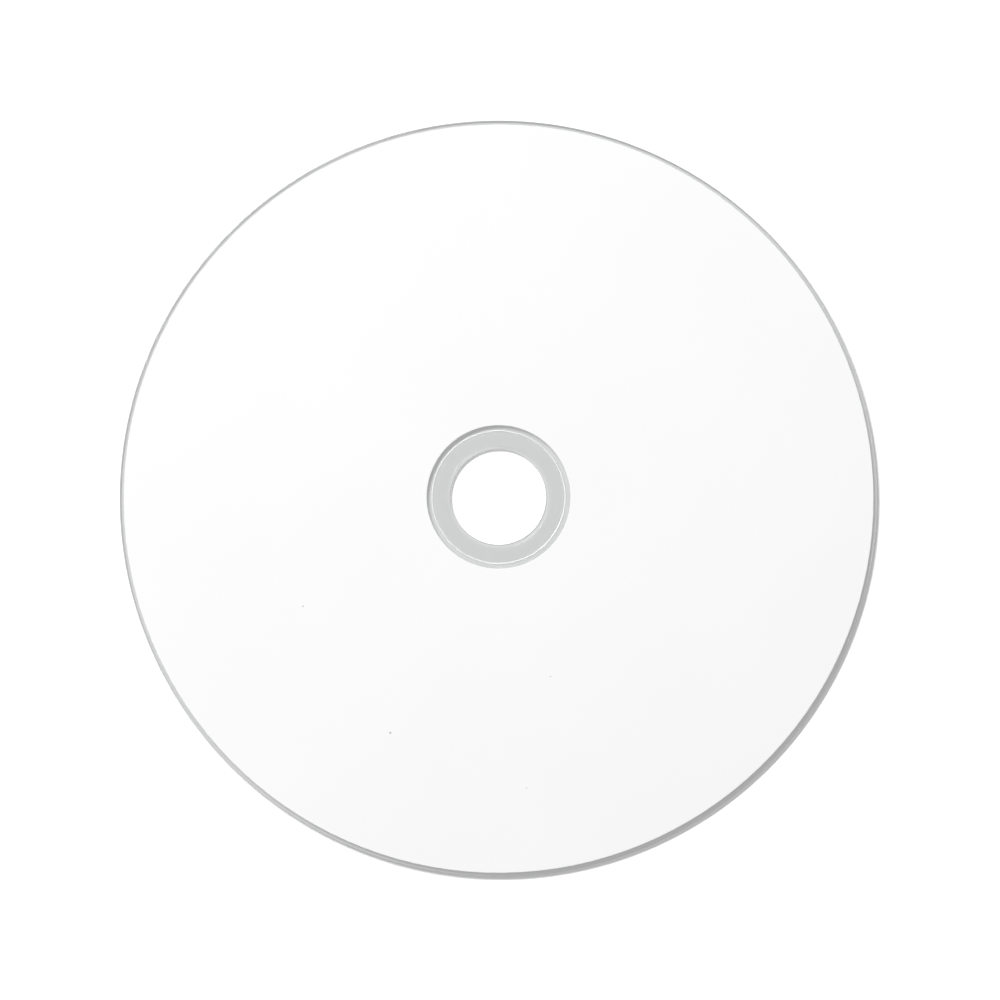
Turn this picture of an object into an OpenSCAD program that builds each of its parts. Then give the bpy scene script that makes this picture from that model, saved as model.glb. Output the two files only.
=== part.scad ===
// Printable recordable disc: two clear moulded halves glued face to face, with the dye and the
// silver film sealed between them and a white ink-receiving coat on the label side.
// Every piece is turned about the Z axis from its own section, drawn as (radius, height).
// The label side is up. The origin is under the centre, in the plane that the disc rests on.

/* [Disc] */
// Outside diameter of both moulded halves
disc_d = 120; // [100:0.5:140]
// Thickness of each moulded half
half_t = 0.57; // [0.45:0.01:0.8]
// Radius of the two outer rim edges
rim_round_r = 0.2; // [0.05:0.01:0.3]
// Chamfer on each half's rim edge beside the glue line
seam_chamfer = 0.05; // [0.02:0.01:0.12]

/* [Hub] */
// Diameter of the centre hole, which is the lower half's, and which a drive's spindle fits
hole_d = 15; // [12:0.05:18]
// How much wider the upper half's hole is on each side, which leaves a ledge round the centre hole
cover_hole_step = 0.53; // [0.1:0.01:1.2]
// Chamfer on the lower half's hole edge on the read side
hole_chamfer = 0.1; // [0.04:0.01:0.2]
// Radius of the lower half's hole edge at the ledge
ledge_round_r = 0.06; // [0.03:0.01:0.15]
// Radius of the upper half's hole edge on the label side
hole_round_r = 0.1; // [0.04:0.01:0.2]

/* [Moulding groove] */
// Diameter of the groove's middle, on the glued face of each half
groove_d = 21.08; // [20:0.02:28]
// Width of the groove at the glued face
groove_w = 0.3; // [0.2:0.02:1.2]
// Depth of the groove
groove_depth = 0.1; // [0.05:0.01:0.3]

/* [Stacking ring] */
// Diameter of the ring's middle, under the read side
stack_ring_d = 34.8; // [33:0.1:40]
// Width of the flat foot that the disc rests on
stack_foot_w = 0.5; // [0.3:0.05:1]
// How far the ring stands below the read side
stack_ring_h = 0.2; // [0.1:0.01:0.3]
// Width of the sloping flank on each side of the foot
stack_flank_w = 0.25; // [0.1:0.05:0.5]

/* [Recording films] */
// Inner diameter of the dye
dye_inner_d = 42; // [36:0.5:50]
// Bare width between the dye and the rim of the disc
dye_rim_margin = 1.6; // [1.2:0.05:4]
// Thickness of the dye
dye_t = 0.015; // [0.01:0.005:0.03]
// How far the silver film laps past the dye at both edges
film_lap = 0.4; // [0.2:0.05:0.8]
// Thickness of the silver film
film_t = 0.015; // [0.01:0.005:0.03]

/* [Bond] */
// Thickness of the resin over the silver film
resin_over_film_t = 0.03; // [0.01:0.005:0.08]
// How far the resin stops short of the rim
resin_rim_gap = 0.15; // [0.13:0.01:0.5]

/* [Print coating] */
// Inner diameter of the white coat
coat_inner_d = 22.75; // [20:0.25:46]
// Clear rim left outside the coat
coat_rim_margin = 0.67; // [0.35:0.01:2]
// Thickness of the coat
coat_t = 0.03; // [0.01:0.005:0.06]
// Width over which the coat thins out at its printed edges
coat_edge_w = 0.06; // [0.02:0.01:0.15]

/* [Hidden] */

// Smoothness of the turned pieces and of the round corners in their sections
TURN_FN = 180;
ARC_FN = 48;

// Radii
disc_r = disc_d / 2;
hole_r = hole_d / 2;
cover_hole_r = hole_r + cover_hole_step;
groove_r = groove_d / 2;
stack_ring_r = stack_ring_d / 2;
dye_inner_r = dye_inner_d / 2;
dye_outer_r = disc_r - dye_rim_margin;
film_inner_r = dye_inner_r - film_lap;
film_outer_r = dye_outer_r + film_lap;
resin_inner_r = groove_r + groove_w / 2;
resin_outer_r = disc_r - resin_rim_gap;
coat_inner_r = coat_inner_d / 2;
coat_outer_r = disc_r - coat_rim_margin;

// Heights, from the foot of the stacking ring upwards
read_face_z = stack_ring_h;
glue_z = read_face_z + half_t;
film_z = glue_z + dye_t;
cover_z = film_z + film_t + resin_over_film_t;
label_face_z = cover_z + half_t;

// The groove is an arc of this radius, whose centre lies beyond the glued face
groove_arc_r = (groove_w * groove_w / 4 + groove_depth * groove_depth) / (2 * groove_depth);
groove_arc_offset = groove_arc_r - groove_depth;

// Turns a section about the Z axis
module turned() {
    rotate_extrude($fn = TURN_FN) children();
}

// Section of a ring with square edges
module ring_section(inner_r, outer_r, low_z, high_z) {
    translate([inner_r, low_z]) square([outer_r - inner_r, high_z - low_z]);
}

// What a rounding takes off the corner at (r, z). From there the piece lies towards (in_r, in_z),
// each of which is 1 or -1
module corner_round_cut(r, z, in_r, in_z, radius) {
    difference() {
        translate([r - radius, z - radius]) square(2 * radius);
        translate([r + in_r * radius, z + in_z * radius]) circle(r = radius, $fn = ARC_FN);
    }
}

// What a chamfer takes off the corner at (r, z), in the same terms
module corner_chamfer_cut(r, z, in_r, in_z, width, depth) {
    polygon([[r - in_r * width, z - in_z * depth],
             [r + 2 * in_r * width, z - in_z * depth],
             [r - in_r * width, z + 2 * in_z * depth]]);
}

// What the moulding groove takes out of a half. side is 1 where the half lies above its glued face
module groove_cut(face_z, side) {
    translate([groove_r, face_z - side * groove_arc_offset])
        circle(r = groove_arc_r, $fn = ARC_FN);
}

// The stacking ring: a flat foot between two sloping flanks
module stack_ring_section() {
    foot = stack_foot_w / 2;
    base = foot + stack_flank_w;
    polygon([[stack_ring_r - foot, 0],
             [stack_ring_r + foot, 0],
             [stack_ring_r + base, read_face_z],
             [stack_ring_r - base, read_face_z]]);
}

// The lower clear half, which the laser reads through
module data_substrate() {
    color([0.80, 0.82, 0.84, 0.5])
        turned()
            union() {
                difference() {
                    ring_section(hole_r, disc_r, read_face_z, glue_z);
                    corner_chamfer_cut(hole_r, read_face_z, 1, 1, hole_chamfer, hole_chamfer);
                    corner_round_cut(hole_r, glue_z, 1, -1, ledge_round_r);
                    corner_round_cut(disc_r, read_face_z, -1, 1, rim_round_r);
                    corner_chamfer_cut(disc_r, glue_z, -1, -1, seam_chamfer, seam_chamfer);
                    groove_cut(glue_z, -1);
                }
                stack_ring_section();
            }
}

// The dye that the laser writes, spun onto the lower half
module dye_layer() {
    color([0.42, 0.36, 0.62])
        turned() ring_section(dye_inner_r, dye_outer_r, glue_z, film_z);
}

// The silver film, which lies on the dye and laps down over both its edges
module reflective_layer() {
    color([0.80, 0.80, 0.82])
        turned() lapped_film_section();
}

// Section of the silver film. It steps down beside the dye by its own thickness
module lapped_film_section() {
    difference() {
        lapped_film_outline();
        ring_section(dye_inner_r, dye_outer_r, glue_z, film_z);
    }
}

// All that the silver film covers, dye included
module lapped_film_outline() {
    union() {
        ring_section(film_inner_r, film_outer_r, glue_z, glue_z + film_t);
        ring_section(dye_inner_r - film_t, dye_outer_r + film_t, glue_z, film_z + film_t);
    }
}

// The cured resin between the halves, moulded round the films
module bond_layer() {
    color([0.86, 0.87, 0.84, 0.5])
        turned()
            difference() {
                ring_section(resin_inner_r, resin_outer_r, glue_z, cover_z);
                lapped_film_outline();
            }
}

// The upper clear half, under the label side. Its hole is the wider one
module cover_substrate() {
    color([0.84, 0.86, 0.88, 0.5])
        turned()
            difference() {
                ring_section(cover_hole_r, disc_r, cover_z, label_face_z);
                corner_round_cut(cover_hole_r, label_face_z, 1, -1, hole_round_r);
                corner_round_cut(disc_r, label_face_z, -1, -1, rim_round_r);
                corner_chamfer_cut(disc_r, cover_z, -1, 1, seam_chamfer, seam_chamfer);
                groove_cut(cover_z, 1);
            }
}

// The white ink-receiving coat, which thins out at both printed edges
module print_coating() {
    top_z = label_face_z + coat_t;
    color([0.97, 0.97, 0.97])
        turned()
            polygon([[coat_inner_r, label_face_z],
                     [coat_outer_r, label_face_z],
                     [coat_outer_r - coat_edge_w, top_z],
                     [coat_inner_r + coat_edge_w, top_z]]);
}

data_substrate();
dye_layer();
reflective_layer();
bond_layer();
cover_substrate();
print_coating();
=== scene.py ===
import math

import bpy
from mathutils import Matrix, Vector

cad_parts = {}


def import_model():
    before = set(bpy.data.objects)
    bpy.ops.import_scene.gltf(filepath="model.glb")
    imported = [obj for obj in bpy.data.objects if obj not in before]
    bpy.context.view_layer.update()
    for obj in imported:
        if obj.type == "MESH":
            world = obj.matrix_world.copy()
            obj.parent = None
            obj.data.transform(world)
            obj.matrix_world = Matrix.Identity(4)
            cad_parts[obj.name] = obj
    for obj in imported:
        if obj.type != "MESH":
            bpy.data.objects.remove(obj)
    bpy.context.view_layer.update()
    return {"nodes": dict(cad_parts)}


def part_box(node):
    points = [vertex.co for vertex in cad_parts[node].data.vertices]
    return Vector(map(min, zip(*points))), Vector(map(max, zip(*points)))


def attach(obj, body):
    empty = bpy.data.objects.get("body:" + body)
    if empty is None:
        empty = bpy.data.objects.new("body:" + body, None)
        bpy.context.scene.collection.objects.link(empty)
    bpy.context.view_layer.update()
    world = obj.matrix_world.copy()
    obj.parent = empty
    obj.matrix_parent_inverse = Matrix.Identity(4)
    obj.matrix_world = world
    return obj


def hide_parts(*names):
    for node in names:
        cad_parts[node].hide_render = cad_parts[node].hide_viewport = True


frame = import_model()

MM = 0.001

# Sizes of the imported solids, in metres. A radius is read from a node's own vertices


def node_radii(name):
    """The smallest and the largest radius of a node about the disc's axis."""
    radii = [math.hypot(v.co.x, v.co.y) for v in frame["nodes"][name].data.vertices]
    return min(radii), max(radii)


def node_heights(name):
    """The lowest and the highest point of a node."""
    low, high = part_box(name)
    return low[2], high[2]


hole_r, disc_r = node_radii("data_substrate")
cover_hole_r = node_radii("cover_substrate")[0]
resin_inner_r, resin_outer_r = node_radii("bond_layer")
coat_inner_r, coat_outer_r = node_radii("print_coating")
dye_inner_r, dye_outer_r = node_radii("dye_layer")
film_inner_r, film_outer_r = node_radii("reflective_layer")
glue_z, cover_z = node_heights("bond_layer")
dye_top_z = node_heights("dye_layer")[1]
film_top_z = node_heights("reflective_layer")[1]
label_z, coat_top_z = node_heights("print_coating")

# Sizes of the moulded details, as in the solids
HOLE_CHAMFER = 0.1 * MM
HOLE_ROUND_R = 0.1 * MM
RIM_ROUND_R = 0.2 * MM
SEAM_CHAMFER = 0.05 * MM
LEDGE_ROUND_R = 0.06 * MM
GROOVE_W = 0.3 * MM
GROOVE_DEPTH = 0.1 * MM
STACK_RING_R = 17.4 * MM
STACK_FOOT_W = 0.5 * MM
STACK_FLANK_W = 0.25 * MM
read_z = glue_z - (label_z - cover_z)
groove_r = resin_inner_r - GROOVE_W / 2
film_t = film_top_z - dye_top_z

# A bonded face is drawn this far inside its piece, so that no two faces coincide
CONTACT_GAP = 0.002 * MM

TURN_STEPS = 512
ARC_STEPS = 14

# The material slots of the clear pieces
FACE, EDGE, FROSTED_GROOVE, FROSTED_CUT, CONTACT = range(5)


def lines(points, slot):
    """Straight runs of a section through (radius, height) points, with a corner at each."""
    return [{"points": [a, b], "slot": slot} for a, b in zip(points, points[1:])]


def arc(centre, radius, start, end, slot):
    """A round run of a section, between two angles in degrees."""
    angles = [
        math.radians(start + (end - start) * i / ARC_STEPS)
        for i in range(ARC_STEPS + 1)
    ]
    points = [
        (centre[0] + radius * math.cos(a), centre[1] + radius * math.sin(a))
        for a in angles
    ]
    return {"points": points, "slot": slot}


def reverse(run):
    return {"points": run["points"][::-1], "slot": run["slot"]}


def turned(name, runs, materials):
    """A closed piece turned about Z. The runs follow one another round its section."""
    section, slots, corners = [], [], set()
    for run in runs:
        corners.add(len(section))
        section += run["points"][:-1]
        slots += [run["slot"]] * (len(run["points"]) - 1)
    count = len(section)
    turns = [2 * math.pi * i / TURN_STEPS for i in range(TURN_STEPS)]
    vertices = [
        (r * math.cos(t), r * math.sin(t), z) for t in turns for r, z in section
    ]
    faces, face_slots = [], []
    for i in range(TURN_STEPS):
        here, there = i * count, (i + 1) % TURN_STEPS * count
        for k in range(count):
            after = (k + 1) % count
            faces.append((here + k, here + after, there + after, there + k))
            face_slots.append(slots[k])
    mesh = bpy.data.meshes.new(name)
    mesh.from_pydata(vertices, [], faces)
    for material in materials:
        mesh.materials.append(material)
    mesh.polygons.foreach_set("material_index", face_slots)
    mesh.polygons.foreach_set("use_smooth", [True] * len(faces))
    for edge in mesh.edges:
        a, b = (v % count for v in edge.vertices)
        edge.use_edge_sharp = a == b and a in corners
    mesh.update()
    piece = bpy.data.objects.new(name, mesh)
    bpy.context.scene.collection.objects.link(piece)
    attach(piece, "root")
    return piece


# Nodes that the materials, the floor and the world are made of

# The range that most of a noise lies in
NOISE_LOW, NOISE_HIGH = 0.3, 0.7


def new_material(name):
    """An empty material and its node tree."""
    material = bpy.data.materials.new(name)
    material.use_nodes = True
    material.node_tree.nodes.clear()
    return material, material.node_tree


def show(tree, shader):
    """Makes shader the surface of the tree's material."""
    output = tree.nodes.new("ShaderNodeOutputMaterial")
    tree.links.new(shader, output.inputs["Surface"])


def object_coordinates(tree):
    return tree.nodes.new("ShaderNodeTexCoord").outputs["Object"]


def noise(tree, scale, detail):
    """Noise with scale repeats to the metre."""
    texture = tree.nodes.new("ShaderNodeTexNoise")
    texture.inputs["Scale"].default_value = scale
    texture.inputs["Detail"].default_value = detail
    tree.links.new(object_coordinates(tree), texture.inputs["Vector"])
    return texture.outputs["Fac"]


def map_range(tree, value, span, result):
    """value, moved from the range span to the range result, and kept in it."""
    node = tree.nodes.new("ShaderNodeMapRange")
    node.inputs["From Min"].default_value, node.inputs["From Max"].default_value = span
    node.inputs["To Min"].default_value, node.inputs["To Max"].default_value = result
    tree.links.new(value, node.inputs["Value"])
    return node.outputs["Result"]


def spread(tree, value, result):
    """A noise value, spread over the range result."""
    return map_range(tree, value, (NOISE_LOW, NOISE_HIGH), result)


def set_colour(tree, socket, colour):
    """Gives the socket a colour, which is three numbers or another node's output."""
    if isinstance(colour, bpy.types.NodeSocket):
        tree.links.new(colour, socket)
    else:
        socket.default_value = (*colour, 1)


def blend(tree, value, low, high):
    """The colour between low and high at value."""
    mix = tree.nodes.new("ShaderNodeMix")
    mix.data_type = "RGBA"
    set_colour(tree, mix.inputs["A"], low)
    set_colour(tree, mix.inputs["B"], high)
    tree.links.new(value, mix.inputs["Factor"])
    return mix.outputs["Result"]


def bump(tree, height, distance):
    node = tree.nodes.new("ShaderNodeBump")
    node.inputs["Distance"].default_value = distance
    tree.links.new(height, node.inputs["Height"])
    return node.outputs["Normal"]


def math_node(tree, operation, a, b):
    node = tree.nodes.new("ShaderNodeMath")
    node.operation = operation
    tree.links.new(a, node.inputs[0])
    tree.links.new(b, node.inputs[1])
    return node.outputs["Value"]


def mix_shaders(tree, factor, first, second):
    """first where factor is 0, and second where it is 1."""
    mix = tree.nodes.new("ShaderNodeMixShader")
    tree.links.new(factor, mix.inputs["Fac"])
    tree.links.new(first, mix.inputs[1])
    tree.links.new(second, mix.inputs[2])
    return mix.outputs["Shader"]


# How each surface varies. Its colour goes from dark to pale with the cloud noise, its roughness
# goes over a range with the grain noise, and its height goes up and down with the relief noise.
# Each noise is given as its repeats to the metre and its detail. The inputs are the shader's own
POLYCARBONATE_IOR = 1.585
POLISHED = {
    "dark": (0.975, 0.98, 0.98),
    "pale": (0.99, 0.995, 0.995),
    "roughness": (0.0, 0.03),
    "height": 0.002 * MM,
    "cloud": (900, 2),
    "grain": (2500, 2),
    "relief": (500, 2),
    "inputs": {"Transmission Weight": 1.0, "IOR": POLYCARBONATE_IOR},
}
SATIN = {**POLISHED, "roughness": (0.14, 0.20)}
GROOVE_FROST = {
    "dark": (0.88, 0.885, 0.885),
    "pale": (0.93, 0.93, 0.93),
    "roughness": (0.3, 0.45),
    "height": 0.004 * MM,
    "cloud": (3000, 2),
    "grain": (3000, 2),
    "relief": (6000, 2),
    "inputs": {"Transmission Weight": 0.35, "IOR": POLYCARBONATE_IOR},
}
CUT_FROST = {
    **GROOVE_FROST,
    "dark": (0.72, 0.725, 0.725),
    "pale": (0.78, 0.78, 0.78),
    "inputs": {"Transmission Weight": 0.05, "IOR": POLYCARBONATE_IOR},
}
INK_COAT = {
    "dark": (0.945, 0.946, 0.946),
    "pale": (0.958, 0.958, 0.958),
    "roughness": (0.82, 0.94),
    "height": 0.006 * MM,
    "cloud": (35, 3),
    "grain": (4000, 2),
    "relief": (14000, 4),
    "inputs": {"Specular IOR Level": 0.2},
}
RECORDING_DYE = {
    "dark": (0.42, 0.36, 0.62),
    "pale": (0.44, 0.38, 0.64),
    "roughness": (0.16, 0.24),
    "height": 0.0005 * MM,
    "cloud": (60, 2),
    "grain": (800, 2),
    "relief": (700, 2),
    "inputs": {
        "Metallic": 1.0,
        "Anisotropic": 0.85,
        "Thin Film Thickness": 480,
        "Thin Film IOR": 1.7,
    },
}
SILVER_FILM = {
    **RECORDING_DYE,
    "dark": (0.84, 0.84, 0.85),
    "pale": (0.90, 0.90, 0.90),
    "roughness": (0.08, 0.14),
}


def surface(tree, look):
    """A shader that varies as look says."""
    shader = tree.nodes.new("ShaderNodeBsdfPrincipled")
    for socket, value in look["inputs"].items():
        shader.inputs[socket].default_value = value
    tone = spread(tree, noise(tree, *look["cloud"]), (0, 1))
    colour = blend(tree, tone, look["dark"], look["pale"])
    tree.links.new(colour, shader.inputs["Base Color"])
    rough = spread(tree, noise(tree, *look["grain"]), look["roughness"])
    tree.links.new(rough, shader.inputs["Roughness"])
    relief = bump(tree, noise(tree, *look["relief"]), look["height"])
    tree.links.new(relief, shader.inputs["Normal"])
    return shader


LAMP_TINT = (0.945, 0.95, 0.95)
NO_TINT = (1, 1, 1)


def lamps_shine_through(tree, shader, tint, turns_light_back, even_light):
    """The shader, which lamps shine straight through, as does even light where even_light.

    Where turns_light_back, a lamp's light that reaches the face from inside the plastic stays in.
    """
    path = tree.nodes.new("ShaderNodeLightPath")
    passes = path.outputs["Is Shadow Ray"]
    if turns_light_back:
        enters = tree.nodes.new("ShaderNodeNewGeometry").outputs["Backfacing"]
        passes = math_node(tree, "MULTIPLY", passes, enters)
    if even_light:
        passes = math_node(tree, "MAXIMUM", passes, path.outputs["Is Diffuse Ray"])
    through = tree.nodes.new("ShaderNodeBsdfTransparent")
    set_colour(tree, through.inputs["Color"], tint)
    return mix_shaders(tree, passes, shader.outputs["BSDF"], through.outputs["BSDF"])


def plastic(name, look, turns_light_back, even_light):
    """Clear or frosted polycarbonate."""
    material, tree = new_material(name)
    shader = surface(tree, look)
    show(tree, lamps_shine_through(tree, shader, LAMP_TINT, turns_light_back, even_light))
    return material


def bonded_contact():
    """A face in optical contact with its neighbour, which light crosses as if it weren't there."""
    material, tree = new_material("bonded_contact")
    shader = tree.nodes.new("ShaderNodeBsdfRefraction")
    shader.inputs["IOR"].default_value = 1.0
    shader.inputs["Roughness"].default_value = 0.0
    show(tree, lamps_shine_through(tree, shader, NO_TINT, False, True))
    return material


# Specks of dust on the coat: their places and radii in millimetres, and how much they hide
DUST = [
    {"x": -30.9, "y": -17.3, "radius": 0.18, "cover": 0.65},
    {"x": -17.1, "y": -37.3, "radius": 0.24, "cover": 0.80},
    {"x": 8.2, "y": -28.4, "radius": 0.15, "cover": 0.60},
    {"x": 4.4, "y": -46.0, "radius": 0.15, "cover": 0.60},
    {"x": -8.1, "y": 23.0, "radius": 0.24, "cover": 0.06},
    {"x": 6.8, "y": 43.1, "radius": 0.24, "cover": 0.06},
    {"x": 6.0, "y": 41.9, "radius": 0.24, "cover": 0.06},
]
DUST_COLOUR = (0.42, 0.40, 0.38)
# A speck hides the most over this share of its radius, and fades out beyond
DUST_CORE = 0.4


def dust(tree):
    """How much of the coat the specks of dust hide."""
    place = object_coordinates(tree)
    hidden = None
    for speck in DUST:
        distance = tree.nodes.new("ShaderNodeVectorMath")
        distance.operation = "DISTANCE"
        distance.inputs[1].default_value = (speck["x"] * MM, speck["y"] * MM, coat_top_z)
        tree.links.new(place, distance.inputs[0])
        edge = speck["radius"] * MM
        fade = ((edge * DUST_CORE, edge), (speck["cover"], 0))
        hides = map_range(tree, distance.outputs["Value"], *fade)
        hidden = math_node(tree, "MAXIMUM", hidden, hides) if hidden else hides
    return hidden


def ink_coat():
    """The white ink-receiving coat, matte and porous, with specks of dust on it."""
    material, tree = new_material("ink_coat")
    shader = surface(tree, INK_COAT)
    base = shader.inputs["Base Color"]
    printed = base.links[0].from_socket
    tree.links.new(blend(tree, dust(tree), printed, DUST_COLOUR), base)
    show(tree, shader.outputs["BSDF"])
    return material


def grooved_film(name, look):
    """A reflecting film on the spiral groove, whose gloss spreads across the groove's turns."""
    material, tree = new_material(name)
    shader = surface(tree, look)
    tangent = tree.nodes.new("ShaderNodeTangent")
    tangent.direction_type = "RADIAL"
    tangent.axis = "Z"
    tree.links.new(tangent.outputs["Tangent"], shader.inputs["Tangent"])
    show(tree, shader.outputs["BSDF"])
    return material


# The clear halves and the resin between them, with their materials in the order of the slots

CLEAR = [
    plastic("clear_polycarbonate_face", POLISHED, False, True),
    plastic("clear_polycarbonate_edge", SATIN, True, True),
    plastic("frosted_polycarbonate_groove", GROOVE_FROST, False, False),
    plastic("frosted_polycarbonate_cut", CUT_FROST, True, False),
    bonded_contact(),
]


def groove_run(face_z, side):
    """The groove in a half on this side of face_z, from the groove's outer edge inwards."""
    radius = (GROOVE_W**2 / 4 + GROOVE_DEPTH**2) / (2 * GROOVE_DEPTH)
    centre = (groove_r, face_z - side * (radius - GROOVE_DEPTH))
    span = math.degrees(math.asin(GROOVE_W / 2 / radius))
    return arc(centre, radius, side * (90 - span), side * (90 + span), FROSTED_GROOVE)


def recess(inner_r, outer_r, face_z, floor_z):
    """Points along a shallow recess in a face, from its inner edge outwards."""
    return [(inner_r, face_z), (inner_r, floor_z), (outer_r, floor_z), (outer_r, face_z)]


def cover_half():
    round_z = label_z - HOLE_ROUND_R
    under_coat = recess(coat_inner_r, coat_outer_r, label_z, label_z - CONTACT_GAP)
    over_resin = recess(resin_inner_r, resin_outer_r, cover_z, cover_z + CONTACT_GAP)
    rim = [
        (disc_r, label_z - RIM_ROUND_R),
        (disc_r, cover_z + SEAM_CHAMFER),
        (disc_r - SEAM_CHAMFER, cover_z),
    ]
    runs = [
        *lines([(cover_hole_r, cover_z), (cover_hole_r, round_z)], EDGE),
        arc((cover_hole_r + HOLE_ROUND_R, round_z), HOLE_ROUND_R, 180, 90, EDGE),
        *lines([(cover_hole_r + HOLE_ROUND_R, label_z), under_coat[0]], FACE),
        *lines(under_coat, CONTACT),
        *lines([under_coat[-1], (disc_r - RIM_ROUND_R, label_z)], FACE),
        arc((disc_r - RIM_ROUND_R, label_z - RIM_ROUND_R), RIM_ROUND_R, 90, 0, EDGE),
        *lines(rim, EDGE),
        *lines([rim[-1], over_resin[-1]], FACE),
        *lines(over_resin[::-1], CONTACT),
        groove_run(cover_z, 1),
        *lines([(groove_r - GROOVE_W / 2, cover_z), (cover_hole_r, cover_z)], FACE),
    ]
    piece = turned("cover_half", runs, CLEAR)
    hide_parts("cover_substrate")


def data_half():
    foot_inner_r = STACK_RING_R - STACK_FOOT_W / 2
    foot_outer_r = STACK_RING_R + STACK_FOOT_W / 2
    ring_inner_r = foot_inner_r - STACK_FLANK_W
    ring_outer_r = foot_outer_r + STACK_FLANK_W
    under_resin = recess(resin_inner_r, resin_outer_r, glue_z, glue_z - CONTACT_GAP)
    rim = [
        (disc_r - SEAM_CHAMFER, glue_z),
        (disc_r, glue_z - SEAM_CHAMFER),
        (disc_r, read_z + RIM_ROUND_R),
    ]
    hole = [
        (hole_r + HOLE_CHAMFER, read_z),
        (hole_r, read_z + HOLE_CHAMFER),
        (hole_r, glue_z - LEDGE_ROUND_R),
    ]
    runs = [
        *lines([(hole_r + LEDGE_ROUND_R, glue_z), (groove_r - GROOVE_W / 2, glue_z)], FACE),
        reverse(groove_run(glue_z, -1)),
        *lines(under_resin, CONTACT),
        *lines([under_resin[-1], rim[0]], FACE),
        *lines(rim, EDGE),
        arc((disc_r - RIM_ROUND_R, read_z + RIM_ROUND_R), RIM_ROUND_R, 0, -90, EDGE),
        *lines([(disc_r - RIM_ROUND_R, read_z), (ring_outer_r, read_z)], FACE),
        *lines([(ring_outer_r, read_z), (foot_outer_r, 0)], EDGE),
        *lines([(foot_outer_r, 0), (foot_inner_r, 0)], FACE),
        *lines([(foot_inner_r, 0), (ring_inner_r, read_z)], EDGE),
        *lines([(ring_inner_r, read_z), hole[0]], FACE),
        *lines(hole, FROSTED_CUT),
        arc((hole_r + LEDGE_ROUND_R, hole[-1][1]), LEDGE_ROUND_R, 180, 90, FROSTED_CUT),
    ]
    piece = turned("data_half", runs, CLEAR)
    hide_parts("data_substrate")


def resin_bond():
    """The resin, with room for the films, whose faces it touches."""
    lap_inner_r, lap_outer_r = film_inner_r - CONTACT_GAP, film_outer_r + CONTACT_GAP
    step_inner_r = dye_inner_r - film_t - CONTACT_GAP
    step_outer_r = dye_outer_r + film_t + CONTACT_GAP
    lap_z = glue_z + film_t + CONTACT_GAP
    top_z = film_top_z + CONTACT_GAP
    over_films = [
        (resin_outer_r, glue_z),
        (lap_outer_r, glue_z),
        (lap_outer_r, lap_z),
        (step_outer_r, lap_z),
        (step_outer_r, top_z),
        (step_inner_r, top_z),
        (step_inner_r, lap_z),
        (lap_inner_r, lap_z),
        (lap_inner_r, glue_z),
        (resin_inner_r, glue_z),
    ]
    runs = [
        *lines([(resin_inner_r, glue_z), (resin_inner_r, cover_z)], EDGE),
        *lines([(resin_inner_r, cover_z), (resin_outer_r, cover_z)], CONTACT),
        *lines([(resin_outer_r, cover_z), (resin_outer_r, glue_z)], EDGE),
        *lines(over_films, CONTACT),
    ]
    piece = turned("resin_bond", runs, CLEAR)
    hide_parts("bond_layer")


cover_half()
data_half()
resin_bond()

# The solids that are shown as they are


def finish_node(name, material):
    for slot in frame["nodes"][name].material_slots:
        slot.material = material


finish_node("print_coating", ink_coat())
finish_node("dye_layer", grooved_film("recording_dye", RECORDING_DYE))
finish_node("reflective_layer", grooved_film("silver_film", SILVER_FILM))

# The floor, the light and the camera

FLOOR_SEEN = {"tone": 1.0, "lift": 0.30}
FLOOR_THROUGH_DISC = {"tone": 0.43, "lift": 0.35}
# Between these distances from the disc's axis the lift rises to 1, which keeps the far floor white
FLOOR_NEAR = 0.08
FLOOR_FAR = 0.8
# How far the floor reaches on each side
FLOOR_REACH = 3.0


def grey(value):
    return (value, value, value)


def floor_lift(tree):
    """The light that the camera sees added to the floor."""
    away = tree.nodes.new("ShaderNodeVectorMath")
    away.operation = "LENGTH"
    tree.links.new(object_coordinates(tree), away.inputs[0])
    rise = ((FLOOR_NEAR, FLOOR_FAR), (FLOOR_SEEN["lift"], 1))
    return map_range(tree, away.outputs["Value"], *rise)


def floor():
    """A pale floor. The camera sees it white with the disc's shadow, and greyer through the disc."""
    corners = [(-1, -1), (1, -1), (1, 1), (-1, 1)]
    mesh = bpy.data.meshes.new("floor")
    mesh.from_pydata([(x * FLOOR_REACH, y * FLOOR_REACH, 0) for x, y in corners], [], [range(4)])
    material, tree = new_material("floor")
    direct = tree.nodes.new("ShaderNodeLightPath").outputs["Is Camera Ray"]
    tone = blend(tree, direct, grey(FLOOR_THROUGH_DISC["tone"]), grey(FLOOR_SEEN["tone"]))
    lift = blend(tree, direct, grey(FLOOR_THROUGH_DISC["lift"]), floor_lift(tree))
    diffuse = tree.nodes.new("ShaderNodeBsdfDiffuse")
    tree.links.new(tone, diffuse.inputs["Color"])
    glow = tree.nodes.new("ShaderNodeEmission")
    tree.links.new(lift, glow.inputs["Color"])
    add = tree.nodes.new("ShaderNodeAddShader")
    tree.links.new(diffuse.outputs[0], add.inputs[0])
    tree.links.new(glow.outputs[0], add.inputs[1])
    show(tree, add.outputs[0])
    mesh.materials.append(material)
    piece = bpy.data.objects.new("floor", mesh)
    bpy.context.scene.collection.objects.link(piece)


LAMP_DISTANCE = 1.2


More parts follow.
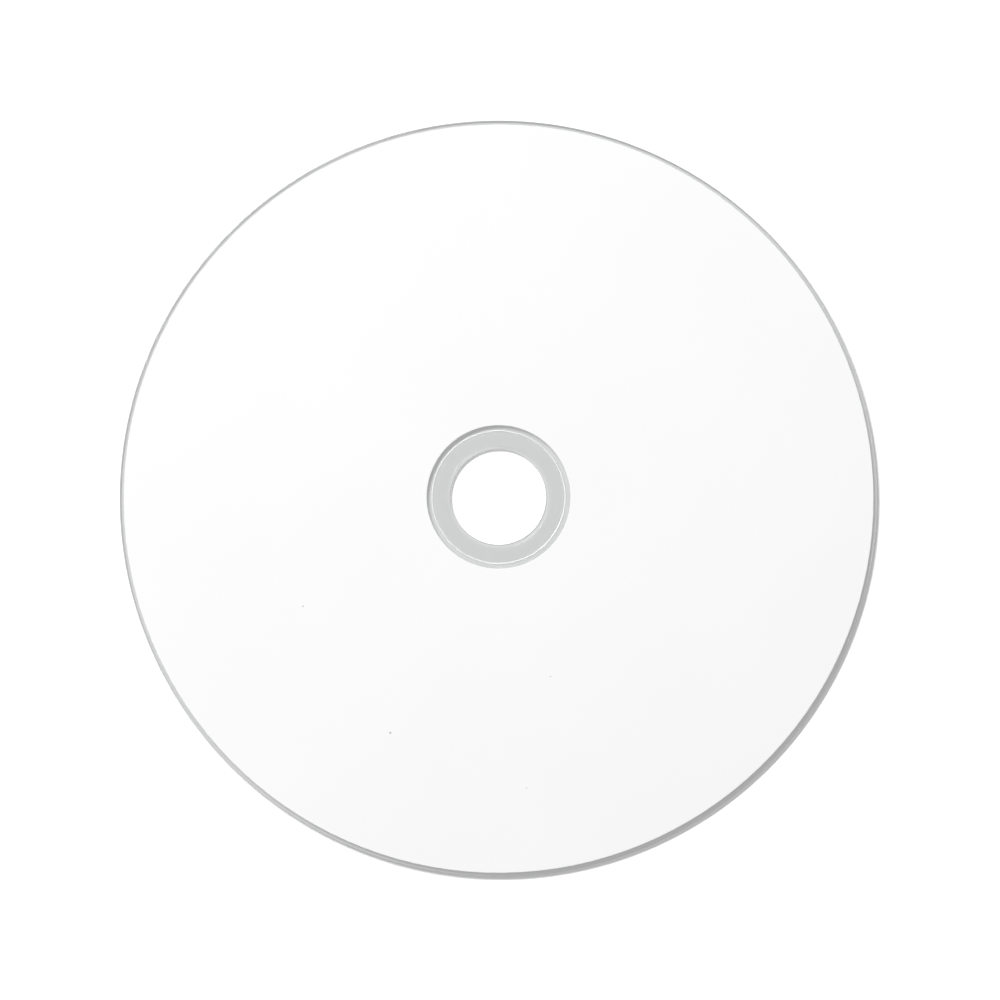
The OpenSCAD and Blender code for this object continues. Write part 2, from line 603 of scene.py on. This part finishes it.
def softbox(name, zenith, azimuth, width, depth, share):
    """A flat lamp that faces the disc. azimuth 0 is towards +Y and 90 towards -X.

    share is how much of the light on the label face comes from it.
    """
    z, a = math.radians(zenith), math.radians(azimuth)
    towards = Vector((-math.sin(a) * math.sin(z), math.cos(a) * math.sin(z), math.cos(z)))
    lamp = bpy.data.lights.new(name, "AREA")
    lamp.shape = "RECTANGLE"
    lamp.size, lamp.size_y = width, depth
    lamp.energy = share * (math.pi * LAMP_DISTANCE) ** 2 / math.cos(z)
    holder = bpy.data.objects.new(name, lamp)
    holder.location = towards * LAMP_DISTANCE
    holder.rotation_mode = "QUATERNION"
    holder.rotation_quaternion = towards.to_track_quat("Z", "Y")
    bpy.context.scene.collection.objects.link(holder)


# The even light on the disc, and the studio as clear and glossy faces show it
FILL = 0.2
SKY_ZENITH = 0.36
SKY_HORIZON = 0.8
WHITE = 1


def background(tree, strength):
    node = tree.nodes.new("ShaderNodeBackground")
    node.inputs["Color"].default_value = (1, 1, 1, 1)
    node.inputs["Strength"].default_value = strength
    return node


def world():
    """A white studio. Its fill is even, and clear and glossy faces show it brighter low down."""
    studio = bpy.data.worlds.new("studio")
    bpy.context.scene.world = studio
    studio.use_nodes = True
    tree = studio.node_tree
    tree.nodes.clear()
    path = tree.nodes.new("ShaderNodeLightPath")
    split = tree.nodes.new("ShaderNodeSeparateXYZ")
    tree.links.new(tree.nodes.new("ShaderNodeTexCoord").outputs["Generated"], split.inputs[0])
    sky = background(tree, SKY_HORIZON)
    upward = map_range(tree, split.outputs["Z"], (0, 1), (SKY_HORIZON, SKY_ZENITH))
    tree.links.new(upward, sky.inputs["Strength"])
    glossy, clear = path.outputs["Is Glossy Ray"], path.outputs["Is Transmission Ray"]
    mirrored = math_node(tree, "MAXIMUM", glossy, clear)
    lit = mix_shaders(tree, mirrored, background(tree, FILL).outputs[0], sky.outputs[0])
    seen = path.outputs["Is Camera Ray"]
    shown = mix_shaders(tree, seen, lit, background(tree, WHITE).outputs[0])
    output = tree.nodes.new("ShaderNodeOutputWorld")
    tree.links.new(shown, output.inputs["Surface"])


def camera():
    """The photograph's camera, nearly overhead. Its scale is set at the disc's centre."""
    tilt = math.radians(3.6)
    distance = 0.8
    pixels_per_mm = 6.32
    image_side = 1000
    view_width = image_side / pixels_per_mm * MM
    centre_px = (498.6, 496.9)
    data = bpy.data.cameras.new("camera")
    data.sensor_width = 36
    data.lens = data.sensor_width * distance / view_width
    data.shift_x = (image_side / 2 - centre_px[0]) / image_side
    data.shift_y = -(image_side / 2 - centre_px[1]) / image_side
    data.clip_start = 0.01
    holder = bpy.data.objects.new("camera", data)
    back = Vector((0, -math.sin(tilt), math.cos(tilt)))
    holder.location = Vector((0, 0, coat_top_z)) + back * distance
    holder.rotation_mode = "QUATERNION"
    holder.rotation_quaternion = back.to_track_quat("Z", "Y")
    bpy.context.scene.collection.objects.link(holder)
    bpy.context.scene.camera = holder


floor()
softbox("main_softbox", zenith=24, azimuth=40, width=0.5, depth=0.1, share=0.84)
world()
camera()
bpy.context.scene.view_settings.view_transform = "Standard"
